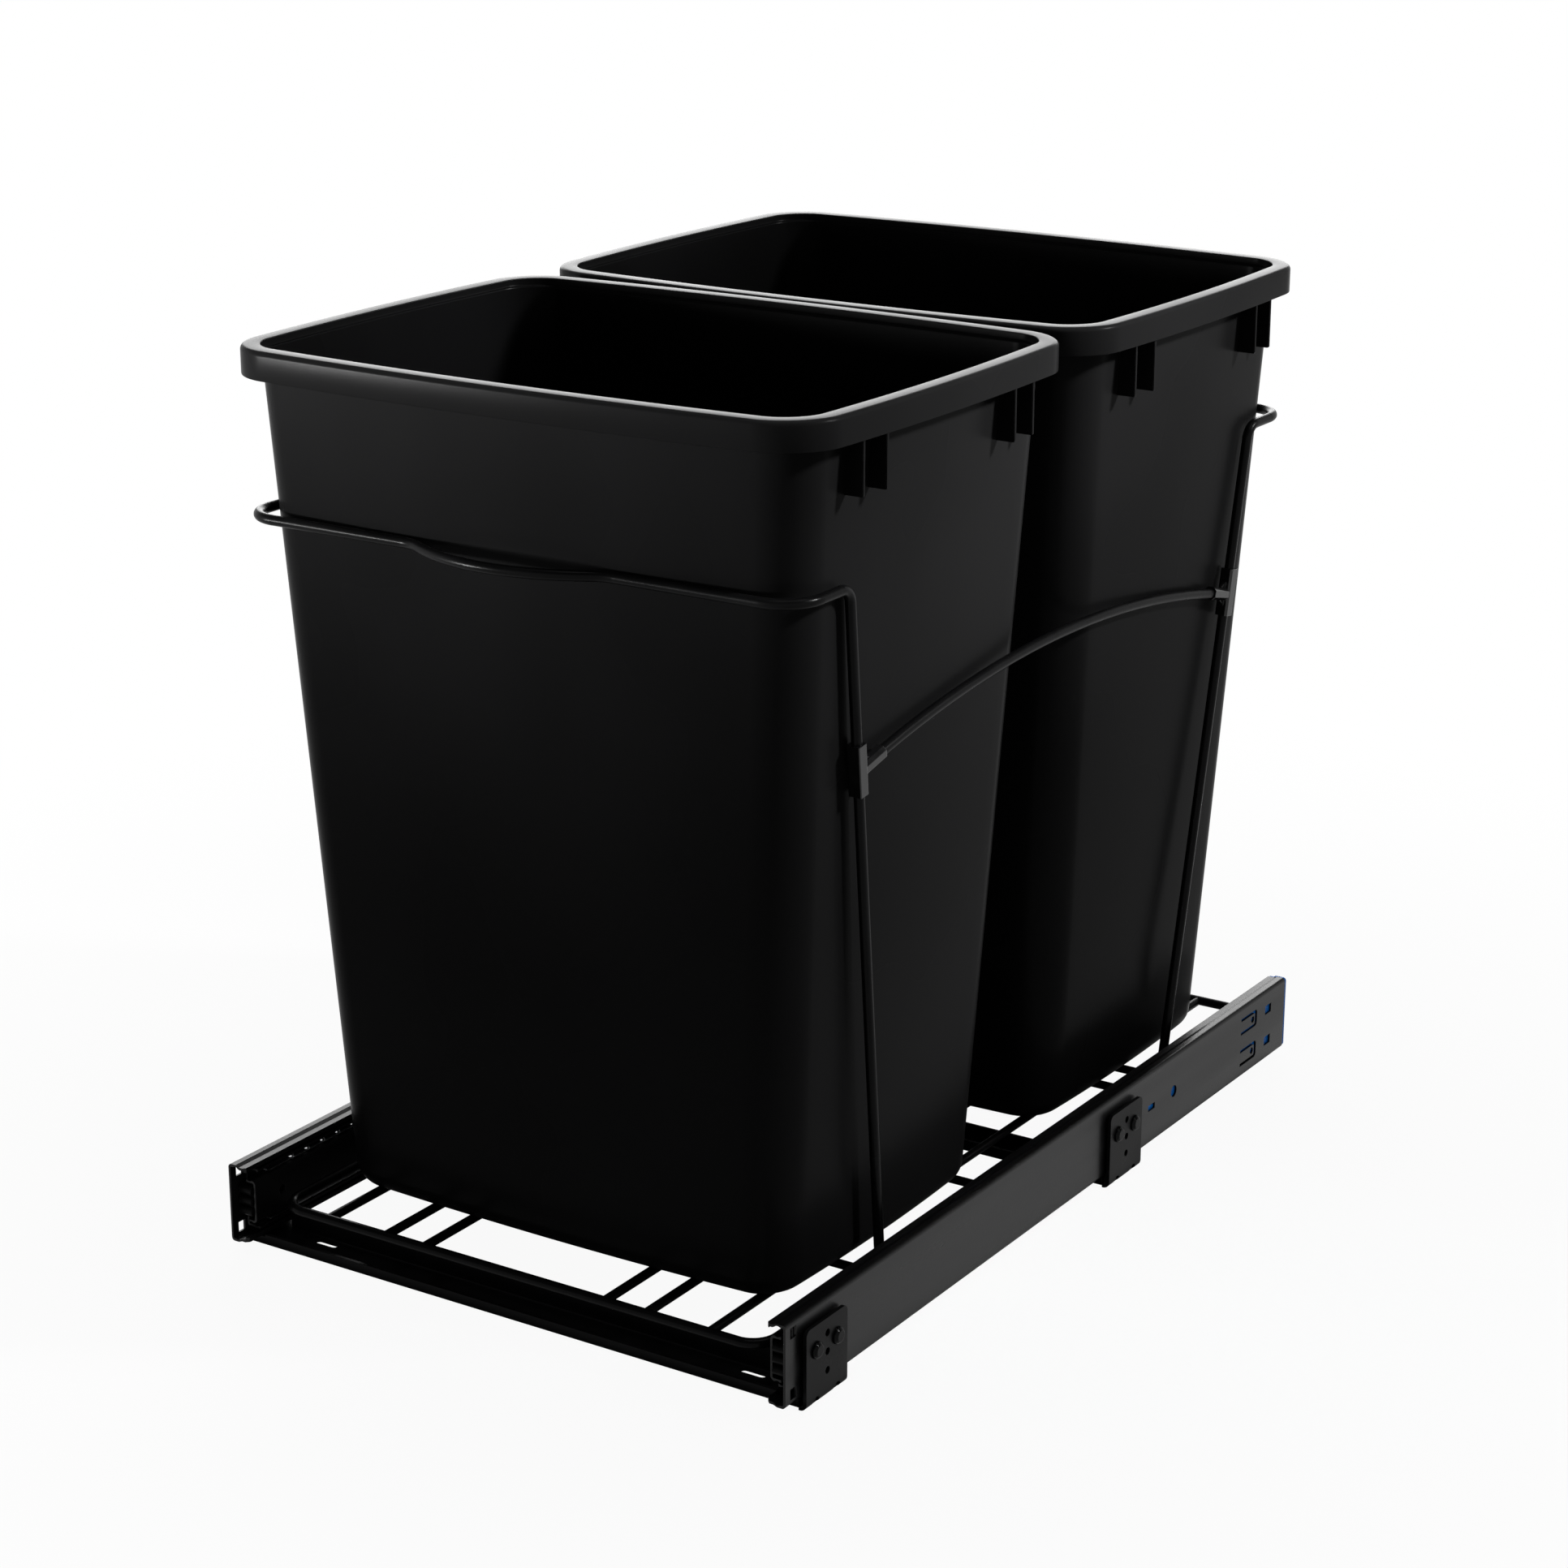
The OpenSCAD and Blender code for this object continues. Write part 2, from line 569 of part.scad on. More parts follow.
module front_hoop() {
  color("#202124") basket_frame() {
    hoop_legs();
    for (s = [-1, 1]) right(s) {
      rod_x_way(handle_x - lap, hoop_x - hoop_r + lap, -hoop_y, hoop_z, rod_d);
      bend_flat([handle_x, -hoop_y - handle_blend, hoop_z], handle_blend, 90,
        handle_a + lap / handle_blend * 180 / PI, bend_d);
    }
    bend_flat([0, -hoop_y - handle_bow + handle_r, hoop_z], handle_r, -90 - handle_a,
      2 * handle_a, bend_d + 0.06);
  }
}

module rear_hoop() {
  color("#202124") basket_frame() front(1) {
    hoop_legs();
    rod_x_way(-hoop_x + hoop_r - lap, hoop_x - hoop_r + lap, -hoop_y, hoop_z, rod_d);
  }
}

module arch_rod(d) {
  side_plane() bend_side(0, arch_s + arch_rise - arch_r, arch_r, 90 - arch_a + arch_cut,
    2 * (arch_a - arch_cut), d);
}
module arch() { color("#202124") basket_frame() arch_rod(rod_d); }

// square with its corners cut off
module cut_square(w, c) {
  h = w / 2;
  polygon([[h, c - h], [h, h - c], [h - c, h], [c - h, h],
    [-h, h - c], [-h, c - h], [c - h, -h], [h - c, -h]]);
}
module clip(e) {
  hang = clip_h / 3;                               // gusset reach along the leg
  color("#131416") basket_frame() front(e) difference() {
    side_plane() translate([0, -arch_half, arch_s]) {
      rotate([leg_lean, 0, 0]) translate([0, 0, -clip_h / 2 + 1.2])
        linear_extrude(height = clip_h) cut_square(clip_w, 1.1);
      rotate([arch_a - 90, 0, 0]) linear_extrude(height = clip_reach) cut_square(clip_w - 0.4, 1.8);
      translate([-0.9, 0, 0]) rotate([90, 0, 90]) linear_extrude(height = 1.8)
        polygon([hang * [-sin(leg_lean), cos(leg_lean)], hang * [sin(leg_lean), -cos(leg_lean)],
          clip_reach * 0.72 * [cos(arch_a), sin(arch_a)]]);
    }
    side_plane() translate([0, -leg_y, 0]) rotate([leg_lean, 0, 0])
      cylinder(d = rod_d + 2 * eps, h = hoop_s);
    arch_rod(rod_d + 2 * eps);
  }
}

module brackets() {
  tab_z = rod_z - rod_d / 2 - eps;
  color("#202124") basket_frame() for (b = bracket_y) difference() {
    union() {
      translate([x_in - bracket_t, b - bracket_len / 2, tab_z - bracket_t])
        cube([bracket_t, bracket_len, 17]);
      translate([rod_x - rod_d / 2, b - bracket_len / 2, tab_z - bracket_t])
        cube([x_in - rod_x + rod_d / 2, bracket_len, bracket_t]);
    }
    for (k = [-1, 1])
      cross_bore(b + k * bracket_len * 0.27, mid_z + 4.5, 4 + 2 * eps, x_in - bracket_t - 1, x_in + 1);
  }
}
module bracket_rivets() {
  color("#3a3c40") basket_frame() for (b = bracket_y, k = [-1, 1])
    translate([x_in + web_t, b + k * bracket_len * 0.27, mid_z + 4.5]) rotate([0, -90, 0]) {
      cylinder(d = 4, h = web_t + bracket_t + 0.4);
      translate([0, 0, web_t + bracket_t]) cylinder(d1 = 7, d2 = 5, h = 1.5);
    }
}

// closed outline of a bin with bowed sides, counter-clockwise from above
arc_n = 8;
edge_n = 6;
loop_n = 4 * (arc_n + edge_n);
function corner(k, a, b, r) = [(k % 4 == 0 || k % 4 == 3 ? 1 : -1) * (a - r),
  (k % 4 < 2 ? 1 : -1) * (b - r)];
function turn(t) = [cos(t), sin(t)];
function plain(k, i, a, b, r) = i <= arc_n
  ? corner(k, a, b, r) + r * turn(90 * k + 90 * i / arc_n)
  : mix(corner(k, a, b, r), corner(k + 1, a, b, r), (i - arc_n) / edge_n) + r * turn(90 * (k + 1));
function bowed(p, a, b, ba, bb, z) = [p[0] * (1 + ba / a * (1 - pow(p[1] / b, 2))),
  p[1] * (1 + bb / b * (1 - pow(p[0] / a, 2))), z];
function ring(a, b, r, ba, bb, z) = [for (k = [0 : 3], i = [0 : arc_n + edge_n - 1])
  bowed(plain(k, i, a, b, r), a, b, ba, bb, z)];
// loop at a set distance out from the mouth
function rim_loop(off, z) = ring(mouth_x + off, mouth_y + off, mouth_r + off, bow_x, bow_y, z);
// loop on the tapered wall
function wall_t(z) = (z - bin_z) / (bin_h - rim_skirt);
function wall_loop(z, off) = ring(mix(foot_x, foot_x + taper_x, wall_t(z)) + off,
  mix(foot_y, foot_y + taper_y, wall_t(z)) + off, 23 + off,
  mix(bow_x - 1.7, bow_x, wall_t(z)), mix(bow_y - 2.9, bow_y - 1.7, wall_t(z)), z);
function foot_loop(t, r, off) = wall_loop(bin_z - off + r * (1 - cos(t)), off - r * (1 - sin(t)));
shelf_z = rim_z - shoulder;
bin_loops = concat(
  [for (t = [0, 22.5, 45, 67.5, 90]) foot_loop(t, foot_r, 0)],
  [wall_loop(shelf_z - rim_t, 0), rim_loop(rim_t, shelf_z - rim_t + 0.4), rim_loop(rim_t, rim_z - rim_t),
   rim_loop(rim_band - bin_wall, rim_z - rim_t), rim_loop(rim_band - bin_wall, rim_z - rim_skirt),
   rim_loop(rim_band, rim_z - rim_skirt)],
  [for (t = [0, 30, 60, 90])
   rim_loop(rim_band - rim_round * (1 - cos(t)), rim_z - rim_round * (1 - sin(t)))],
  [rim_loop(0.4, rim_z), rim_loop(0, rim_z - 0.4), rim_loop(-0.3, shelf_z + 0.4),
   rim_loop(-0.8, shelf_z), wall_loop(shelf_z, -bin_wall)],
  [for (t = [90, 67.5, 45, 22.5, 0]) foot_loop(t, foot_r - bin_wall, -bin_wall)]);

module bin_shell() {
  rows = len(bin_loops);
  pts = [for (l = bin_loops) each l];
  at_foot = [for (i = [0 : loop_n - 1]) i];
  at_floor = [for (i = [loop_n - 1 : -1 : 0]) (rows - 1) * loop_n + i];
  skin = [for (j = [0 : rows - 2], i = [0 : loop_n - 1])
    let (n = (i + 1) % loop_n, a = j * loop_n, b = a + loop_n)
    each [[b + i, b + n, a + i], [b + n, a + n, a + i]]];
  polyhedron(points = pts, faces = concat([at_foot], skin, [at_floor]), convexity = 6);
}

// plate under the rim, with its inner edge sunk in the wall
function wall_edge(y, z) = mix(foot_x, foot_x + taper_x, wall_t(z))
  + mix(bow_x - 1.7, bow_x, wall_t(z)) * (1 - pow(y / mix(foot_y, foot_y + taper_y, wall_t(z)), 2));
module rim_rib(y) {
  low = rim_z - rim_skirt - rib_drop;
  top = rim_z - rim_skirt + 4;
  edge = wall_edge(y, top) + 8.6;
  along_y(y - 1, y + 1) polygon([[wall_edge(abs(y) + 1, low) - 1, low], [edge - 2.5, low],
    [edge, low + 2.5], [edge, top], [wall_edge(abs(y) + 1, top) - 1, top]]);
}

module bin(s) {
  color("#161718") translate([0, basket_y + s * bin_y, 0]) {
    bin_shell();
    for (x = [-1, 1], y = [-1, 1], k = [0, 1]) right(x) rim_rib(y * (rib_pos + k * rib_pitch));
  }
}

crossbar(0);  // front_crossbar
crossbar(1);  // rear_crossbar
right(-1) rivets();  // left_rivets
right(1) rivets();  // right_rivets
right(-1) outer_rail();  // left_outer_rail
right(1) outer_rail();  // right_outer_rail
right(-1) soft_close();  // left_soft_close
right(1) soft_close();  // right_soft_close
right(-1) outer_cage();  // left_outer_cage
right(1) outer_cage();  // right_outer_cage
right(-1) outer_balls();  // left_outer_balls
right(1) outer_balls();  // right_outer_balls
right(-1) middle_rail();  // left_middle_rail
right(1) middle_rail();  // right_middle_rail
right(-1) bumper();  // left_bumper
right(1) bumper();  // right_bumper
right(-1) front_strip();  // left_front_strip
right(1) front_strip();  // right_front_strip
right(-1) front_balls();  // left_front_balls
right(1) front_balls();  // right_front_balls
right(-1) inner_cage();  // left_inner_cage
right(1) inner_cage();  // right_inner_cage
right(-1) inner_balls();  // left_inner_balls
right(1) inner_balls();  // right_inner_balls
right(-1) inner_rail();  // left_inner_rail
right(1) inner_rail();  // right_inner_rail
right(-1) brackets();  // left_brackets
right(1) brackets();  // right_brackets
right(-1) bracket_rivets();  // left_bracket_rivets
right(1) bracket_rivets();  // right_bracket_rivets
base_ring();
long_wires();
cross_wires();
front_hoop();
rear_hoop();
right(-1) arch();  // left_arch
right(1) arch();  // right_arch
right(-1) clip(-1);  // front_left_clip
right(1) clip(-1);  // front_right_clip
right(-1) clip(1);  // rear_left_clip
right(1) clip(1);  // rear_right_clip
bin(-1);  // front_bin
bin(1);  // rear_bin
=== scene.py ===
import bpy
import bmesh
import math
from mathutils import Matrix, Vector


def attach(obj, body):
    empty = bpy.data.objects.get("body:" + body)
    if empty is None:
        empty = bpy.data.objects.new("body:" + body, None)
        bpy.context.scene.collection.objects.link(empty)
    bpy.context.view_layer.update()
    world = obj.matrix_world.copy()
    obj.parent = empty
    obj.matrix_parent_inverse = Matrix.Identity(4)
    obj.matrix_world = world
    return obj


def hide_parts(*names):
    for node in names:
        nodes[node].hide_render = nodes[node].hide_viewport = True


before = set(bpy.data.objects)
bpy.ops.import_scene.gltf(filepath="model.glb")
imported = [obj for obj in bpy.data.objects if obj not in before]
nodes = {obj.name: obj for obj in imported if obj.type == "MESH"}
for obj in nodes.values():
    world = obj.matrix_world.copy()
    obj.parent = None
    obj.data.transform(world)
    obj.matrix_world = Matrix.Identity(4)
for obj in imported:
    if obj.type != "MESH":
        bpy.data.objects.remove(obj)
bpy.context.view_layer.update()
scene = bpy.context.scene
print("frame in,", len(nodes), "pieces")

cloudSpan = (0.3, 0.7)     # cloud noise seldom leaves this span
edgeSamples = 6


# a fresh finish with its shader and a coordinate source that stays on the piece
def startFinish(name):
    finish = bpy.data.materials.new(name)
    finish.use_nodes = True
    tree = finish.node_tree
    shader = tree.nodes["Principled BSDF"]
    coords = tree.nodes.new("ShaderNodeTexCoord")
    return finish, tree, shader, coords.outputs["Object"]


def stretched(tree, coords, scale):
    mapping = tree.nodes.new("ShaderNodeMapping")
    mapping.inputs["Scale"].default_value = scale
    tree.links.new(coords, mapping.inputs["Vector"])
    return mapping.outputs["Vector"]


# cloud noise from its scale, detail and roughness
def cloudy(tree, coords, noise):
    scale, detail, rough = noise
    clouds = tree.nodes.new("ShaderNodeTexNoise")
    clouds.inputs["Scale"].default_value = scale
    clouds.inputs["Detail"].default_value = detail
    clouds.inputs["Roughness"].default_value = rough
    tree.links.new(coords, clouds.inputs["Vector"])
    return clouds.outputs["Fac"]


# a value carried softly from one span to another
def eased(tree, value, fromSpan, toSpan):
    ease = tree.nodes.new("ShaderNodeMapRange")
    ease.interpolation_type = "SMOOTHSTEP"
    for socket, number in zip(("From Min", "From Max", "To Min", "To Max"), (*fromSpan, *toSpan)):
        ease.inputs[socket].default_value = number
    tree.links.new(value, ease.inputs["Value"])
    return ease.outputs["Result"]


def tinted(tree, clouds, dark, pale):
    ramp = tree.nodes.new("ShaderNodeValToRGB")
    ramp.color_ramp.interpolation = "EASE"
    for stop, place, colour in zip(ramp.color_ramp.elements, cloudSpan, (dark, pale)):
        stop.position = place
        stop.color = (*colour, 1)
    tree.links.new(clouds, ramp.inputs["Fac"])
    return ramp.outputs["Color"]


# colour and gloss of a coat, both drifting with the same clouds
def coated(tree, shader, clouds, spec):
    tree.links.new(tinted(tree, clouds, spec["dark"], spec["pale"]), shader.inputs["Base Color"])
    tree.links.new(eased(tree, clouds, cloudSpan, spec["rough"]), shader.inputs["Roughness"])
    shader.inputs["Specular IOR Level"].default_value = spec["specular"]


# fine relief of a given depth and strength
def bumped(tree, shader, height, relief, edge=0.0):
    bump = tree.nodes.new("ShaderNodeBump")
    bump.inputs["Distance"].default_value, bump.inputs["Strength"].default_value = relief
    tree.links.new(height, bump.inputs["Height"])
    if edge > 0:
        soft = tree.nodes.new("ShaderNodeBevel")     # takes the knife edge off
        soft.samples = edgeSamples
        soft.inputs["Radius"].default_value = edge
        tree.links.new(soft.outputs["Normal"], bump.inputs["Normal"])
    tree.links.new(bump.outputs["Normal"], shader.inputs["Normal"])


# grained black moulding of the bins, with a darker copy for the inside that is painted shade
binMoulding = {"dark": (0.0060, 0.0060, 0.0061), "pale": (0.0080, 0.0080, 0.0082),
               "rough": (0.25, 0.31), "specular": 0.010,
               "sweep": (6, 2, 0.5), "grain": (1500, 2, 0.6), "relief": (0.00004, 0.5)}
# painted shade: the inside copy's colour is several times darker than the outside's
binInsidePaintedShade = {**binMoulding, "dark": (0.0010, 0.0010, 0.0010), "pale": (0.0016, 0.0016, 0.0017)}


def makeBinMoulding(name, spec):
    finish, tree, shader, coords = startFinish(name)
    coated(tree, shader, cloudy(tree, coords, spec["sweep"]), spec)
    bumped(tree, shader, cloudy(tree, coords, spec["grain"]), spec["relief"])
    return finish


# smooth black coat on the wires, with a faint orange peel
wireCoat = {"dark": (0.0022, 0.0022, 0.0023), "pale": (0.0045, 0.0045, 0.0047),
            "rough": (0.24, 0.34), "specular": 0.045,
            "drift": (18, 3, 0.5), "peel": (420, 2, 0.5), "relief": (0.00006, 0.6)}


def makeWireCoat(spec):
    finish, tree, shader, coords = startFinish("wireCoat")
    coated(tree, shader, cloudy(tree, coords, spec["drift"]), spec)
    bumped(tree, shader, cloudy(tree, coords, spec["peel"]), spec["relief"])
    return finish


# satin coat on rolled and folded sheet, drawn out along the rolling direction
sheetCoat = {"dark": (0.004, 0.004, 0.0042), "pale": (0.008, 0.008, 0.0083), "rough": (0.26, 0.38),
             "lines": (60, 4, 0.5), "peel": (600, 2, 0.5), "relief": (0.00005, 0.5), "edge": 0.00035}
railCoat = {**sheetCoat, "specular": 0.14, "rolled": (1.0, 0.05, 1.0)}
barCoat = {**sheetCoat, "specular": 0.042, "rolled": (0.05, 1.0, 1.0)}


def makeSheetCoat(name, spec):
    finish, tree, shader, coords = startFinish(name)
    coated(tree, shader, cloudy(tree, stretched(tree, coords, spec["rolled"]), spec["lines"]), spec)
    bumped(tree, shader, cloudy(tree, coords, spec["peel"]), spec["relief"], spec["edge"])
    return finish


# gloss black clips
clipGloss = {"dark": (0.003, 0.003, 0.0032), "pale": (0.006, 0.006, 0.0063),
             "rough": (0.06, 0.14), "specular": 0.3,
             "flow": (90, 3, 0.5), "relief": (0.00005, 0.3), "edge": 0.0005}


def makeClipGloss(spec):
    finish, tree, shader, coords = startFinish("clipGloss")
    flow = cloudy(tree, coords, spec["flow"])
    coated(tree, shader, flow, spec)
    bumped(tree, shader, flow, spec["relief"], spec["edge"])
    return finish


# blue moulding of the soft-close units
closerBlue = {"dark": (0.0, 0.15, 0.60), "pale": (0.0, 0.20, 0.74),
              "rough": (0.32, 0.45), "specular": 0.06,
              "drift": (40, 3, 0.5), "grain": (900, 2, 0.5), "relief": (0.00005, 0.5)}


def makeCloserBlue(spec):
    finish, tree, shader, coords = startFinish("closerBlue")
    coated(tree, shader, cloudy(tree, coords, spec["drift"]), spec)
    bumped(tree, shader, cloudy(tree, coords, spec["grain"]), spec["relief"])
    return finish


# bright strip and polished balls
stripMetal = {"dark": (0.42, 0.43, 0.44), "pale": (0.58, 0.59, 0.60),
              "rough": (0.24, 0.38), "specular": 0.5,
              "drawn": (40, 2, 40), "lines": (12, 4, 0.5), "relief": (0.00003, 0.4)}
ballMetal = {**stripMetal, "dark": (0.62, 0.63, 0.64), "pale": (0.74, 0.75, 0.76), "rough": (0.06, 0.12),
             "drawn": (60, 60, 60)}


def makeBearingSteel(name, spec):
    finish, tree, shader, coords = startFinish(name)
    lines = cloudy(tree, stretched(tree, coords, spec["drawn"]), spec["lines"])
    coated(tree, shader, lines, spec)
    shader.inputs["Metallic"].default_value = 1.0
    bumped(tree, shader, lines, spec["relief"])
    return finish


# blackened rivet heads and the soft bumpers
rivetBlack = {"dark": (0.002, 0.002, 0.0021), "pale": (0.005, 0.005, 0.0052),
              "rough": (0.13, 0.20), "specular": 0.05,
              "mottle": (260, 4, 0.5), "relief": (0.00004, 0.4)}
bumperBlack = {**rivetBlack, "dark": (0.003, 0.003, 0.003), "pale": (0.006, 0.006, 0.006),
               "rough": (0.3, 0.42), "specular": 0.03}


def makeSmallBlack(name, spec):
    finish, tree, shader, coords = startFinish(name)
    mottle = cloudy(tree, coords, spec["mottle"])
    coated(tree, shader, mottle, spec)
    bumped(tree, shader, mottle, spec["relief"])
    return finish


binBlack = makeBinMoulding("binMoulding", binMoulding)
# the bins' inside finish is painted shade
binInsideShade = makeBinMoulding("binInsidePaintedShade", binInsidePaintedShade)
wireBlack = makeWireCoat(wireCoat)
railBlack = makeSheetCoat("railCoat", railCoat)
barBlack = makeSheetCoat("barCoat", barCoat)
clipBlack = makeClipGloss(clipGloss)
unitBlue = makeCloserBlue(closerBlue)
stripSteel = makeBearingSteel("stripSteel", stripMetal)
ballSteel = makeBearingSteel("ballSteel", ballMetal)
rivetDark = makeSmallBlack("rivetBlack", rivetBlack)
bumperDark = makeSmallBlack("bumperBlack", bumperBlack)

# what a piece's name ends with tells its finish, and the rest is wire
finishByEnding = {"crossbar": barBlack, "rivets": rivetDark, "_rail": railBlack, "soft_close": unitBlue,
                  "_cage": stripSteel, "_strip": stripSteel, "_balls": ballSteel, "_bumper": bumperDark,
                  "_clip": clipBlack, "_brackets": barBlack, "_bin": binBlack}


def finishFor(name):
    for ending, finish in finishByEnding.items():
        if name.endswith(ending):
            return finish
    return wireBlack


for name, piece in nodes.items():
    piece.data.materials.clear()
    piece.data.materials.append(finishFor(name))
print("finishes on", len(nodes), "pieces")


def mix(low, high, share):
    return low + (high - low) * share


# a ring of faces between each two neighbouring loops
def skinLoops(build, loops):
    count = len(loops[0])
    return [[build.faces.new((lower[i], lower[(i + 1) % count], upper[(i + 1) % count], upper[i]))
             for i in range(count)] for lower, upper in zip(loops, loops[1:])]


# the built mesh as a piece, smooth but for edges sharper than the given angle
def settled(build, name, finishes, sharpFrom):
    mesh = bpy.data.meshes.new(name)
    build.to_mesh(mesh)
    build.free()
    if "custom_normal" in mesh.attributes:           # left over in a copied solid
        mesh.attributes.remove(mesh.attributes["custom_normal"])
    for face in mesh.polygons:
        face.use_smooth = True
    mesh.set_sharp_from_angle(angle=math.radians(sharpFrom))
    for finish in finishes:
        mesh.materials.append(finish)
    piece = bpy.data.objects.new(name, mesh)
    scene.collection.objects.link(piece)
    return piece


# the two bins, lofted through closed loops with bowed sides, metres
binShape = {"places": {"front_bin": -0.1313, "rear_bin": 0.1385}, "foot": 0.02925, "top": 0.489,
            "footX": 0.140, "footY": 0.0986, "taperX": 0.025, "taperY": 0.0196, "footR": 0.013,
            "wall": 0.002, "wallR": 0.023, "wallBowX": (0.0030, 0.0047), "wallBowY": (0.0040, 0.0052),
            "mouthX": 0.1647, "mouthY": 0.1179, "mouthR": 0.019, "bowX": 0.0047, "bowY": 0.0069,
            "band": 0.0098, "rimT": 0.0022, "skirt": 0.015, "shoulder": 0.004, "neck": 0.0004,
            "edgeR": 0.0026, "lipR": 0.0005, "hemIn": 0.0005,
            "hemOut": ((0.0006, 0), (0.0001, 0.0002), (0, 0.0007)),              # in from the band, up
            "lipFoot": ((-0.0003, 0.0008), (-0.0005, 0.0002), (-0.0010, 0)),     # out, up from the shelf
            "wallHead": ((0.0006, 0), (0.0001, 0.0003)), "headDrop": 0.0010,     # out, down from it
            "arcSteps": 18, "edgeSteps": 22, "wallSteps": 12,
            "footTurn": 9, "edgeTurn": 15, "lipTurn": 18,                        # degrees a step
            "ribAt": (0.0605, 0.0800), "ribDrop": 0.027, "ribRise": 0.004, "ribReach": 0.0086,
            "ribT": 0.002, "ribSink": 0.001, "ribCorner": 0.0009, "ribTurn": 30,
            "ribSoft": 0.0003, "ribSoftSteps": 2, "sharpFrom": 50}


def bowedLoop(spec, halfX, halfY, radius, bowX, bowY, z):
    loop = []
    arcs, edges = spec["arcSteps"], spec["edgeSteps"]
    signs = ((1, 1), (-1, 1), (-1, -1), (1, -1))
    centres = [(signX * (halfX - radius), signY * (halfY - radius)) for signX, signY in signs]
    for k, here in enumerate(centres):
        after = centres[(k + 1) % len(centres)]
        for i in range(arcs + edges):
            turn = math.radians(90 * k + 90 * min(i, arcs) / arcs)
            along = max(0, i - arcs) / edges
            x = mix(here[0], after[0], along) + radius * math.cos(turn)
            y = mix(here[1], after[1], along) + radius * math.sin(turn)
            loop.append(Vector((x * (1 + bowX / halfX * (1 - (y / halfY) ** 2)),
                                y * (1 + bowY / halfY * (1 - (x / halfX) ** 2)), z)))
    return loop


def rimLoop(spec, off, z):
    return bowedLoop(spec, spec["mouthX"] + off, spec["mouthY"] + off, spec["mouthR"] + off,
                     spec["bowX"], spec["bowY"], z)


def wallShare(spec, z):
    return (z - spec["foot"]) / (spec["top"] - spec["foot"] - spec["skirt"])


def wallLoop(spec, off, z):
    share = wallShare(spec, z)
    return bowedLoop(spec, spec["footX"] + spec["taperX"] * share + off,
                     spec["footY"] + spec["taperY"] * share + off, spec["wallR"] + off,
                     mix(*spec["wallBowX"], share), mix(*spec["wallBowY"], share), z)


def footLoop(spec, off, radius, degrees):
    turn = math.radians(degrees)
    return wallLoop(spec, off - radius * (1 - math.sin(turn)),
                    spec["foot"] - off + radius * (1 - math.cos(turn)))


# loops up the outside to the rim's inner edge
def outerLoops(spec):
    top, band, rimT, hemIn = spec["top"], spec["band"], spec["rimT"], spec["hemIn"]
    shelf = top - spec["shoulder"]
    hem = top - spec["skirt"]
    pocket = band - spec["wall"]                      # inner face of the skirt
    steps = spec["wallSteps"]
    loops = [footLoop(spec, 0, spec["footR"], degrees) for degrees in range(0, 91, spec["footTurn"])]
    for i in range(1, steps + 1):
        loops.append(wallLoop(spec, 0, mix(spec["foot"] + spec["footR"], shelf - rimT, i / steps)))
    loops += [rimLoop(spec, rimT, shelf - rimT + spec["neck"]), rimLoop(spec, rimT, top - rimT),
              rimLoop(spec, pocket, top - rimT), rimLoop(spec, pocket, hem + hemIn),
              rimLoop(spec, pocket + hemIn, hem)]
    loops += [rimLoop(spec, band - inward, hem + up) for inward, up in spec["hemOut"]]
    for degrees in range(0, 91, spec["edgeTurn"]):    # rolled outer edge of the rim
        turn = math.radians(degrees)
        loops.append(rimLoop(spec, band - spec["edgeR"] * (1 - math.cos(turn)),
                             top - spec["edgeR"] * (1 - math.sin(turn))))
    for degrees in range(0, 91, spec["lipTurn"]):     # small inner edge
        turn = math.radians(degrees)
        loops.append(rimLoop(spec, spec["lipR"] * (1 - math.sin(turn)),
                             top - spec["lipR"] * (1 - math.cos(turn))))
    return loops


# loops down the inside from the rim to the floor
def innerLoops(spec):
    wall, footR = spec["wall"], spec["footR"]
    shelf = spec["top"] - spec["shoulder"]
    steps = spec["wallSteps"]
    loops = [rimLoop(spec, out, shelf + up) for out, up in spec["lipFoot"]]
    loops += [wallLoop(spec, out - wall, shelf - down) for out, down in spec["wallHead"]]
    for i in range(steps):
        loops.append(wallLoop(spec, -wall, mix(shelf - spec["headDrop"], spec["foot"] + footR, i / steps)))
    for degrees in range(90, -1, -spec["footTurn"]):
        loops.append(footLoop(spec, -wall, footR - wall, degrees))
    return loops


def wallEdge(spec, y, z):
    share = wallShare(spec, z)
    halfY = spec["footY"] + spec["taperY"] * share
    return spec["footX"] + spec["taperX"] * share + mix(*spec["wallBowX"], share) * (1 - (y / halfY) ** 2)


# plate under the rim with its inner edge sunk in the wall
def addRib(build, spec, side, y):
    hem = spec["top"] - spec["skirt"]
    low, high = hem - spec["ribDrop"], hem + spec["ribRise"]
    sink, turned = spec["ribSink"], spec["ribCorner"]
    tip = wallEdge(spec, y, high) + spec["ribReach"]
    outline = [(wallEdge(spec, abs(y) + sink, low) - sink, low), (tip - turned, low)]
    for degrees in range(spec["ribTurn"], 91, spec["ribTurn"]):
        turn = math.radians(degrees)
        outline.append((tip - turned + turned * math.sin(turn), low + turned * (1 - math.cos(turn))))
    outline += [(tip, high), (wallEdge(spec, abs(y) + sink, high) - sink, high)]
    half = spec["ribT"] / 2
    sheets = [[build.verts.new((side * x, y + s * half, z)) for x, z in outline] for s in (-1, 1)]
    faces = [build.faces.new(sheets[0]), build.faces.new(reversed(sheets[1]))]
    for i in range(len(outline)):
        j = (i + 1) % len(outline)
        faces.append(build.faces.new((sheets[0][i], sheets[1][i], sheets[1][j], sheets[0][j])))
    bmesh.ops.recalc_face_normals(build, faces=faces)
    borders = {edge for face in faces[:2] for edge in face.edges}
    bmesh.ops.bevel(build, geom=list(borders), offset=spec["ribSoft"], segments=spec["ribSoftSteps"],
                    affect="EDGES")


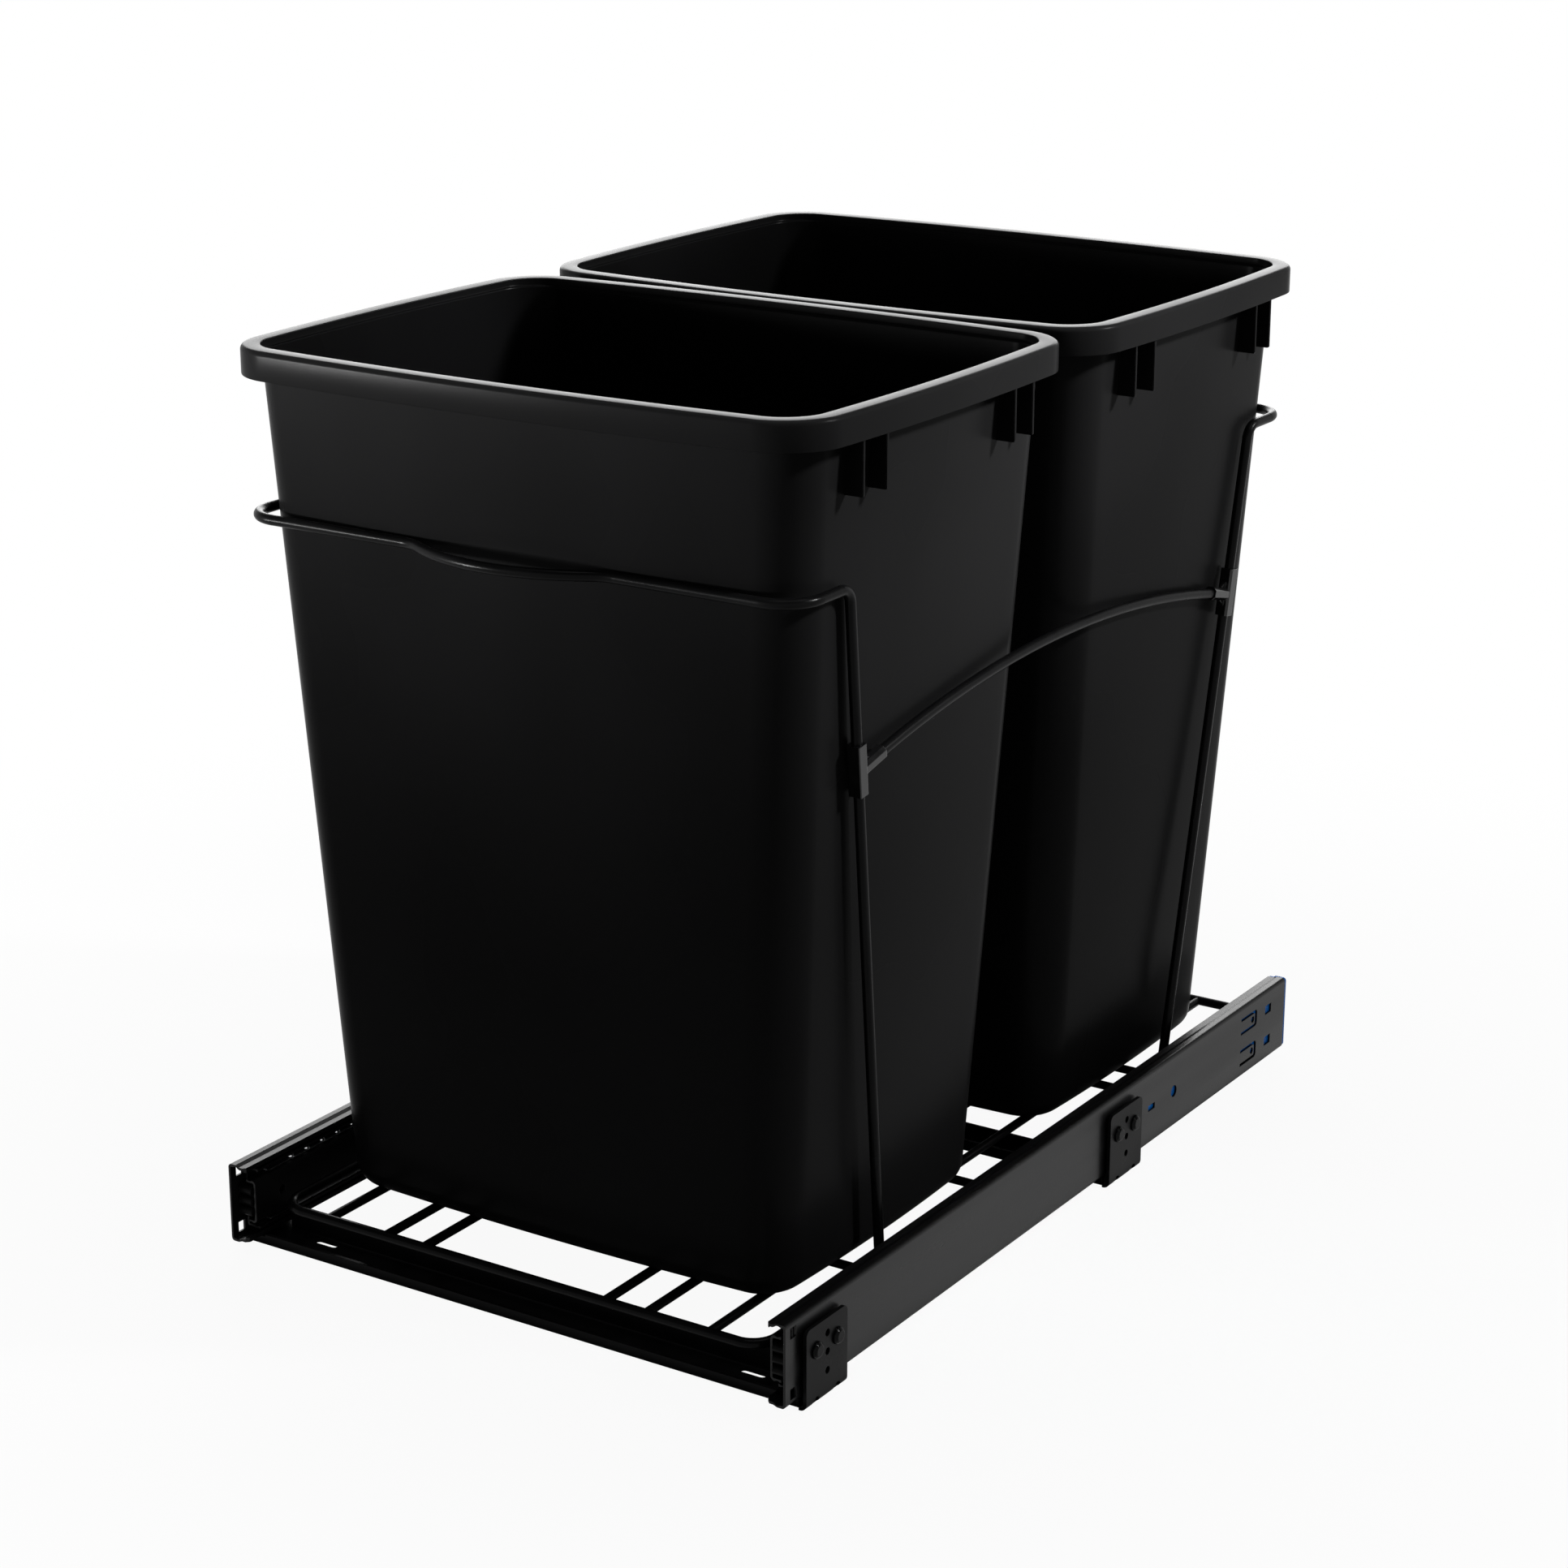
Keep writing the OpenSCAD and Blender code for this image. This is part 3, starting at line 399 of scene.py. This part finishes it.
def makeBin(name, spec):
    build = bmesh.new()
    outside = outerLoops(spec)
    loops = [[build.verts.new(point) for point in loop] for loop in outside + innerLoops(spec)]
    build.faces.new(list(reversed(loops[0])))
    # the inside faces get the second finish, the painted shade
    for step, ring in enumerate(skinLoops(build, loops)):
        for face in ring:
            face.material_index = int(step >= len(outside) - 1)      # the inside is the second finish
    build.faces.new(loops[-1]).material_index = 1
    for side in (-1, 1):
        for end in (-1, 1):
            for at in spec["ribAt"]:
                addRib(build, spec, side, end * at)
    for vert in build.verts:
        vert.co.y += spec["places"][name]
    shell = settled(build, name + "Shell", (binBlack, binInsideShade), spec["sharpFrom"])
    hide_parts(name)
    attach(shell, name)
    return shell


shells = [makeBin(name, binShape) for name in binShape["places"]]
print("bins made,", sum(len(s.data.polygons) for s in shells), "faces")


# turned rivets of the ears: radii, and heights from the slide's inner face out
rivetShape = {"sides": {"left_rivets": -1, "right_rivets": 1}, "foot": 0.17585, "height": 0.0298,
              "places": (-0.2565, -0.2374, 0.0570, 0.0761),
              "shank": 0.0025, "collar": 0.0045, "collarFrom": 0.0012, "collarTo": 0.0028,
              "ear": 0.0048, "head": 0.0046, "drum": 0.0010, "face": 0.0031, "rise": 0.0022,
              "soft": 0.00022, "turns": 56, "sharpFrom": 50}


# head and shank from the foot up, with two close points beside each soft edge
def rivetProfile(spec):
    shank, collar, soft = spec["shank"], spec["collar"], spec["soft"]
    head, face, ear = spec["head"], spec["face"], spec["ear"]
    drumTop, faceTop = ear + spec["drum"], ear + spec["rise"]
    slope = Vector((face - head, faceTop - drumTop)).normalized() * soft
    drumEdge, faceEdge = Vector((head, drumTop)), Vector((face, faceTop))
    return [(shank, 0), (shank, spec["collarFrom"]), (collar, spec["collarFrom"]),
            (collar, spec["collarTo"]), (shank, spec["collarTo"]), (shank, ear),
            (head - soft, ear), (head, ear + soft), (head, drumTop - 2 * soft), (head, drumTop - soft),
            drumEdge + slope, drumEdge + 2 * slope, faceEdge - 2 * slope, faceEdge - slope,
            (face - soft, faceTop), (face - 2 * soft, faceTop)]


def makeRivets(name, side, spec):
    build = bmesh.new()
    turns = [2 * math.pi * i / spec["turns"] for i in range(spec["turns"])]
    for y in spec["places"]:
        rings = []
        for radius, height in rivetProfile(spec):
            x = side * (spec["foot"] + height)
            rings.append([build.verts.new((x, y + radius * math.cos(turn),
                                           spec["height"] + radius * math.sin(turn))) for turn in turns])
        skinLoops(build, rings)
        build.faces.new(list(reversed(rings[0])))
        build.faces.new(rings[-1])
    bmesh.ops.recalc_face_normals(build, faces=build.faces)
    turned = settled(build, name + "Turned", (rivetDark,), spec["sharpFrom"])
    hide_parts(name)
    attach(turned, "base")
    return turned


rivetSets = [makeRivets(name, side, rivetShape) for name, side in rivetShape["sides"].items()]
print("rivets turned,", len(rivetSets) * len(rivetShape["places"]), "of them")

weldGap = 0.000001


# a welded copy of a solid, to be reshaped
def copied(name):
    build = bmesh.new()
    build.from_mesh(nodes[name].data)
    build.transform(nodes[name].matrix_world)
    bmesh.ops.remove_doubles(build, verts=build.verts, dist=weldGap)
    build.normal_update()
    return build


# clips with crisper edges on the side away from the arm: which way that is along y
clipShape = {"away": {"front_left_clip": -1, "front_right_clip": -1,
                      "rear_left_clip": 1, "rear_right_clip": 1},
             "shift": 0.00075, "slant": 0.6, "sharpFrom": 25}


# slanted faces move out to a narrow one, and the bore's facets that face the same way move into the rod
def sharpenEdge(build, side, away, spec):
    slanted = [face for face in build.faces
               if face.normal.x * side > spec["slant"] and face.normal.y * away > spec["slant"]]
    normal = sum((face.normal * face.calc_area() for face in slanted), Vector()).normalized()
    corners = {vert for face in slanted for vert in face.verts}
    middle = sum((vert.co for vert in corners), Vector()) / len(corners)
    border = [edge for face in slanted for edge in face.edges
              if sum(other in slanted for other in edge.link_faces) == 1]
    longest = max(border, key=lambda edge: edge.calc_length())
    along = (longest.verts[1].co - longest.verts[0].co).normalized()
    across = normal.cross(along).normalized()
    for vert in corners:
        part = 1 if (vert.co - middle).dot(across) > 0 else -1
        vert.co += (normal - part * across).normalized() * spec["shift"]


def makeClip(name, away, spec):
    build = copied(name)
    for side in (-1, 1):
        sharpenEdge(build, side, away, spec)
    crisp = settled(build, name + "Crisp", (clipBlack,), spec["sharpFrom"])
    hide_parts(name)
    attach(crisp, "basket")
    return crisp


clips = [makeClip(name, away, clipShape) for name, away in clipShape["away"].items()]
print("clips made,", len(clips))


# front crossbar with the rear wall of its channel at full height
crossbarShape = {"name": "front_crossbar", "wallFrom": -0.2446, "wallTo": -0.2416, "inside": 0.170,
                 "edge": 0.0066, "rise": 0.0092, "sharpFrom": 25}


def makeCrossbar(spec):
    name = spec["name"]
    build = copied(name)
    for vert in build.verts:
        x, y, z = vert.co
        if spec["wallFrom"] < y < spec["wallTo"] and abs(x) < spec["inside"] and z > spec["edge"]:
            vert.co.z += spec["rise"]
    channel = settled(build, name + "Channel", (barBlack,), spec["sharpFrom"])
    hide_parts(name)
    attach(channel, "base")
    return channel


crossbar = makeCrossbar(crossbarShape)
print("crossbar made,", len(crossbar.data.polygons), "faces")


# plain pale floor and the white round it, with heights of the white as sines
studio = {"floorHalf": 8.0, "floorDrop": 0.0004, "floorPale": (0.72, 0.72, 0.72), "floorRough": 0.9,
          "floorSpecular": 0.1, "glow": (0.94, 1.0), "fade": (0.28, 0.95),
          "shadeX": 0.178, "shadeY": 0.270, "shadeEase": 0.010,
          "worldFill": 0.10, "ceilingFall": (0.26, 0.55), "ceilingShare": 0.06}
white = (1, 1, 1, 1)


# one sum on sockets or numbers
def worked(tree, operation, *values):
    node = tree.nodes.new("ShaderNodeMath")
    node.operation = operation
    for socket, value in zip(node.inputs, values):
        if isinstance(value, bpy.types.NodeSocket):
            tree.links.new(value, socket)
        else:
            socket.default_value = value
    return node.outputs[0]


def blended(tree, share, first, second, outlet):
    blend = tree.nodes.new("ShaderNodeMixShader")
    tree.links.new(share, blend.inputs["Fac"])
    tree.links.new(first, blend.inputs[1])
    tree.links.new(second, blend.inputs[2])
    tree.links.new(blend.outputs["Shader"], tree.nodes[outlet].inputs["Surface"])


# share of white for rays that look at the backdrop: straight, by reflection or through glass
def whereSeen(tree):
    path = tree.nodes.new("ShaderNodeLightPath").outputs
    looked = worked(tree, "MAXIMUM", path["Is Camera Ray"], path["Is Glossy Ray"])
    return worked(tree, "MAXIMUM", looked, path["Is Transmission Ray"])


# the whole share where the look is straight
def straightOr(tree, share):
    path = tree.nodes.new("ShaderNodeLightPath").outputs
    return worked(tree, "MAXIMUM", path["Is Camera Ray"], share)


# under the bins a reflection sees the shaded floor, not the white one
def shadeUnder(tree, place, spec):
    axes = tree.nodes.new("ShaderNodeSeparateXYZ")
    tree.links.new(place, axes.inputs["Vector"])
    beyond = [worked(tree, "SUBTRACT", worked(tree, "ABSOLUTE", axes.outputs[axis]), half)
              for axis, half in (("X", spec["shadeX"]), ("Y", spec["shadeY"]))]
    outside = worked(tree, "MAXIMUM", *beyond)
    return straightOr(tree, eased(tree, outside, (0, spec["shadeEase"]), (0, 1)))


def makeFloor(spec):
    half = spec["floorHalf"]
    mesh = bpy.data.meshes.new("floor")
    corners = [(-half, -half, 0), (half, -half, 0), (half, half, 0), (-half, half, 0)]
    mesh.from_pydata(corners, [], [(0, 1, 2, 3)])
    floor = bpy.data.objects.new("floor", mesh)
    floor.location.z = -spec["floorDrop"]
    scene.collection.objects.link(floor)
    finish, tree, shader, place = startFinish("floorPale")
    shader.inputs["Base Color"].default_value = (*spec["floorPale"], 1)
    shader.inputs["Roughness"].default_value = spec["floorRough"]
    shader.inputs["Specular IOR Level"].default_value = spec["floorSpecular"]
    glow = tree.nodes.new("ShaderNodeEmission")
    glow.inputs["Color"].default_value = white
    reach = tree.nodes.new("ShaderNodeVectorMath")
    reach.operation = "LENGTH"
    tree.links.new(place, reach.inputs[0])
    fade = eased(tree, reach.outputs["Value"], spec["fade"], spec["glow"])     # shadow fades into white
    share = worked(tree, "MULTIPLY", whereSeen(tree), fade)
    lit = worked(tree, "MULTIPLY", share, shadeUnder(tree, place, spec))
    blended(tree, lit, shader.outputs["BSDF"], glow.outputs["Emission"], "Material Output")
    mesh.materials.append(finish)


# the white ends below a dim ceiling, which reflections see
def dimCeiling(tree, spec):
    way = tree.nodes.new("ShaderNodeTexCoord")
    axes = tree.nodes.new("ShaderNodeSeparateXYZ")
    tree.links.new(way.outputs["Generated"], axes.inputs["Vector"])
    return straightOr(tree, eased(tree, axes.outputs["Z"], spec["ceilingFall"], (1, spec["ceilingShare"])))


def makeWorld(spec):
    world = bpy.data.worlds.new("studioWhite")
    scene.world = world
    world.use_nodes = True
    tree = world.node_tree
    fill = tree.nodes["Background"]
    fill.inputs["Color"].default_value = white
    fill.inputs["Strength"].default_value = spec["worldFill"]
    bright = tree.nodes.new("ShaderNodeBackground")
    bright.inputs["Color"].default_value = white
    bright.inputs["Strength"].default_value = 1.0
    share = worked(tree, "MULTIPLY", whereSeen(tree), dimCeiling(tree, spec))
    blended(tree, share, fill.outputs["Background"], bright.outputs["Background"], "World Output")


makeFloor(studio)
makeWorld(studio)
print("floor and white round it made")


# soft boxes: place, what they look at, size, power and how far the beam spreads in degrees
softBoxes = {"overhead": ((0.1, 0.1, 2.4), (0, 0, 0.2), (1.6, 1.6), 16, 160),
             "backTop": ((-1.38, 2.12, 1.0), (0, 0, 0.45), (2.2, 1.0), 25, 150),
             "beamFront": ((-1.50, -1.60, 0.46), (-0.20, -0.26, 0.65), (0.5, 0.3), 3.4, 21),
             "beamRight": ((1.55, 0.85, 1.75), (0.17, 0.10, 0.77), (0.6, 0.6), 4.2, 14),
             "hardwareKick": ((2.05, 0.48, 1.14), (0.19, -0.09, 0.01), (0.22, 0.22), 0.11, 9)}


def makeSoftBox(name, place, aim, size, power, spread):
    lamp = bpy.data.lights.new(name, "AREA")
    lamp.shape = "RECTANGLE"
    lamp.size, lamp.size_y = size
    lamp.energy = power
    lamp.spread = math.radians(spread)
    box = bpy.data.objects.new(name, lamp)
    box.location = place
    box.rotation_euler = (Vector(aim) - Vector(place)).to_track_quat("-Z", "Y").to_euler()
    box.visible_camera = False
    scene.collection.objects.link(box)


for name, spec in softBoxes.items():
    makeSoftBox(name, *spec)
print("studio lit by", len(softBoxes), "soft boxes")


# the photograph's viewpoint, metres, degrees and millimetres of lens
viewpoint = {"place": (1.027486, -1.591174, 0.83246), "down": 17.948, "round": 32.979,
             "lens": 82.29, "sensor": 36, "near": 0.05, "far": 50}


def makeCamera(spec):
    camera = bpy.data.cameras.new("viewpoint")
    camera.sensor_width = spec["sensor"]
    camera.lens = spec["lens"]
    camera.clip_start = spec["near"]
    camera.clip_end = spec["far"]
    holder = bpy.data.objects.new("viewpoint", camera)
    holder.location = spec["place"]
    holder.rotation_euler = (math.radians(90 - spec["down"]), 0, math.radians(spec["round"]))
    scene.collection.objects.link(holder)
    scene.camera = holder


makeCamera(viewpoint)
scene.view_settings.view_transform = "Standard"

print("scene ready")
